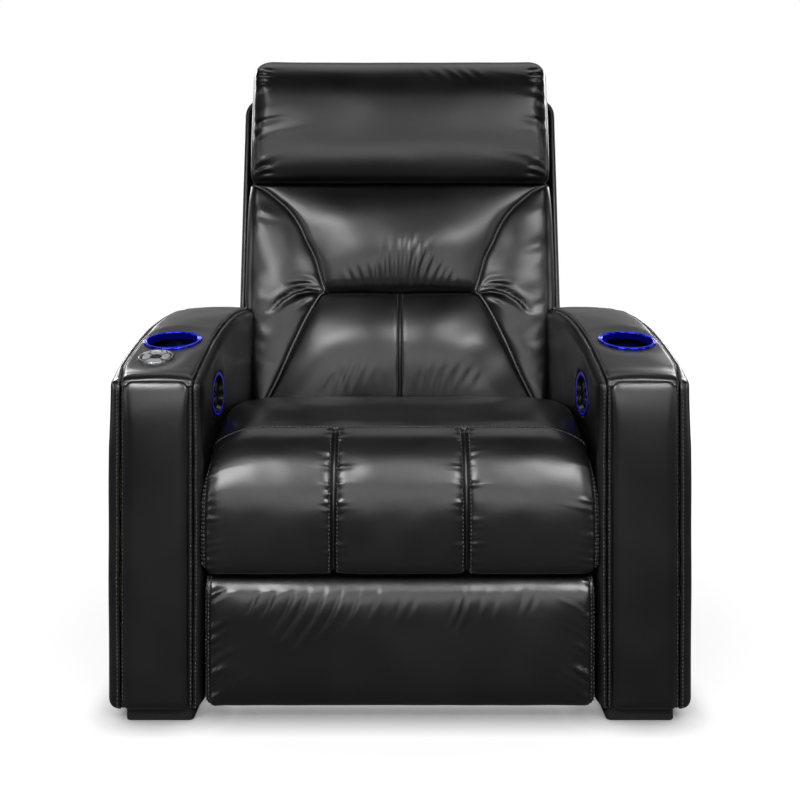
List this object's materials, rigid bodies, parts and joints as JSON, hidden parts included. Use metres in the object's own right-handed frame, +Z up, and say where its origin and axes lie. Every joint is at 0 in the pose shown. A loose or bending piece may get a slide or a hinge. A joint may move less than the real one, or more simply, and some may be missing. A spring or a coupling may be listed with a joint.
{
  "type": "cinema recliner seat",
  "caption": "Powered home-cinema recliner seat in black leather: fold-out legrest, reclining back, tilting head cushion, wide arms with lit cup holders and key pads.",
  "frame": {"origin": "on the floor, under the middle of the seat's width and depth with the backrest upright", "axes": "+X to the right for someone who faces the seat, +Y from the arm fronts to the back, +Z up"},
  "size_m": [0.92, 0.9315, 1.1604],
  "materials": {
    "leather": "satin",
    "plywood": "matte",
    "plinth_plastic": "matte",
    "cup_metal": "satin",
    "blue_light": "gloss",
    "dark_gloss": "gloss",
    "keypad_chrome": "polished",
    "key_metal": "satin",
    "black_steel": "satin",
    "zinc_steel": "satin",
    "motor_paint": "satin",
    "box_plastic": "matte",
    "webbing": "matte"
  },
  "bodies": {
    "base": {"plinth_left": "plinth_plastic", "plinth_right": "plinth_plastic", "arm_frame_left": "plywood", "arm_frame_right": "plywood", "arm_outer_pad_left": "leather", "arm_outer_pad_right": "leather", "arm_inner_pad_left": "leather", "arm_inner_pad_right": "leather", "arm_top_pad_left": "leather", "arm_top_pad_right": "leather", "arm_front_pad_left": "leather", "arm_front_pad_right": "leather", "cup_holder_left": "cup_metal", "cup_holder_right": "cup_metal", "cup_light_left": "blue_light", "cup_light_right": "blue_light", "side_switch_housing_left": "dark_gloss", "side_switch_housing_right": "dark_gloss", "side_switch_light_left": "blue_light", "side_switch_light_right": "blue_light", "keypad_housing": "keypad_chrome", "base_rail_left": "black_steel", "base_rail_right": "black_steel", "side_plate_left": "black_steel", "side_plate_right": "black_steel", "base_bolts": "zinc_steel", "cross_tubes": "black_steel", "legrest_motor": "motor_paint", "recline_motor": "motor_paint", "power_box": "box_plastic", "seat_front_pad": "leather", "seat_cushion": "leather", "seat_frame": "plywood", "seat_webbing": "webbing"},
    "drive": {"legrest_drive": "zinc_steel"},
    "carrier": {"carrier_links": "zinc_steel"},
    "idler": {"idler_links": "zinc_steel"},
    "toggle": {"toggle_links": "zinc_steel"},
    "legrest": {"legrest_brackets": "zinc_steel", "legrest_board": "plywood", "legrest_cushion": "leather"},
    "back": {"back_frame": "black_steel", "recline_shaft": "zinc_steel", "back_webbing": "webbing", "back_lower_cushion": "leather", "back_upper_cushion": "leather", "back_bolster_left": "leather", "back_bolster_right": "leather", "back_shell": "leather"},
    "head": {"head_frame": "plywood", "head_cushion": "leather"},
    "side_switch_key_upper_left": {"side_switch_key_upper_left": "dark_gloss"},
    "side_switch_key_upper_right": {"side_switch_key_upper_right": "dark_gloss"},
    "side_switch_key_lower_left": {"side_switch_key_lower_left": "dark_gloss"},
    "side_switch_key_lower_right": {"side_switch_key_lower_right": "dark_gloss"},
    "keypad_key_centre": {"keypad_key_centre": "dark_gloss"},
    "keypad_key_front": {"keypad_key_front": "key_metal"},
    "keypad_key_rear": {"keypad_key_rear": "key_metal"},
    "keypad_key_left": {"keypad_key_left": "key_metal"},
    "keypad_key_right": {"keypad_key_right": "key_metal"}
  },
  "joints": [
    {"name": "legrest_drive", "type": "hinge", "parent": "base", "child": "drive", "pos_m": [0, -0.32872, 0.258], "axis": [-1, 0, 0], "range_deg": [0, 105]},
    {"name": "carrier_pivot", "type": "hinge", "parent": "drive", "child": "carrier", "pos_m": [0, -0.20822, 0.0935], "axis": [1, 0, 0], "range_deg": [0, 105]},
    {"name": "idler_pivot", "type": "hinge", "parent": "base", "child": "idler", "pos_m": [0, -0.26972, 0.244], "axis": [-1, 0, 0], "range_deg": [0, 105]},
    {"name": "toggle_pivot", "type": "hinge", "parent": "drive", "child": "toggle", "pos_m": [0, -0.18022, 0.085], "axis": [1, 0, 0], "range_deg": [0, 108]},
    {"name": "legrest_swing", "type": "hinge", "parent": "carrier", "child": "legrest", "pos_m": [0, -0.36472, 0.207], "axis": [-1, 0, 0], "range_deg": [0, 90.1]},
    {"name": "backrest_recline", "type": "hinge", "parent": "base", "child": "back", "pos_m": [0, 0.15128, 0.29], "axis": [-1, 0, 0], "range_deg": [0, 38]},
    {"name": "headrest_tilt", "type": "hinge", "parent": "back", "child": "head", "pos_m": [0, 0.22001, 0.917], "axis": [1, 0, 0], "range_deg": [0, 35]},
    {"name": "side_switch_key_upper_left_press", "type": "slide", "parent": "base", "child": "side_switch_key_upper_left", "axis": [-0.9945, 0.1045, 0], "range_m": [0, 0.0015], "stiffness_N_per_m": 400, "springref_m": -0.0006},
    {"name": "side_switch_key_upper_right_press", "type": "slide", "parent": "base", "child": "side_switch_key_upper_right", "axis": [0.9945, 0.1045, 0], "range_m": [0, 0.0015], "stiffness_N_per_m": 400, "springref_m": -0.0006},
    {"name": "side_switch_key_lower_left_press", "type": "slide", "parent": "base", "child": "side_switch_key_lower_left", "axis": [-0.9945, 0.1045, 0], "range_m": [0, 0.0015], "stiffness_N_per_m": 400, "springref_m": -0.0006},
    {"name": "side_switch_key_lower_right_press", "type": "slide", "parent": "base", "child": "side_switch_key_lower_right", "axis": [0.9945, 0.1045, 0], "range_m": [0, 0.0015], "stiffness_N_per_m": 400, "springref_m": -0.0006},
    {"name": "keypad_key_centre_press", "type": "slide", "parent": "base", "child": "keypad_key_centre", "axis": [0, 0.2632, -0.9648], "range_m": [0, 0.001], "stiffness_N_per_m": 400, "springref_m": -0.0006},
    {"name": "keypad_key_front_press", "type": "slide", "parent": "base", "child": "keypad_key_front", "axis": [0, 0.2632, -0.9648], "range_m": [0, 0.001], "stiffness_N_per_m": 400, "springref_m": -0.0006},
    {"name": "keypad_key_rear_press", "type": "slide", "parent": "base", "child": "keypad_key_rear", "axis": [0, 0.2632, -0.9648], "range_m": [0, 0.001], "stiffness_N_per_m": 400, "springref_m": -0.0006},
    {"name": "keypad_key_left_press", "type": "slide", "parent": "base", "child": "keypad_key_left", "axis": [0, 0.2632, -0.9648], "range_m": [0, 0.001], "stiffness_N_per_m": 400, "springref_m": -0.0006},
    {"name": "keypad_key_right_press", "type": "slide", "parent": "base", "child": "keypad_key_right", "axis": [0, 0.2632, -0.9648], "range_m": [0, 0.001], "stiffness_N_per_m": 400, "springref_m": -0.0006}
  ],
  "couplings": [
    {"joint": "carrier_pivot", "follows": "legrest_drive", "ratio": 1},
    {"joint": "idler_pivot", "follows": "legrest_drive", "ratio": 1},
    {"joint": "toggle_pivot", "follows": "legrest_drive", "ratio": 1.0225},
    {"joint": "legrest_swing", "follows": "legrest_drive", "ratio": 0.85714}
  ]
}
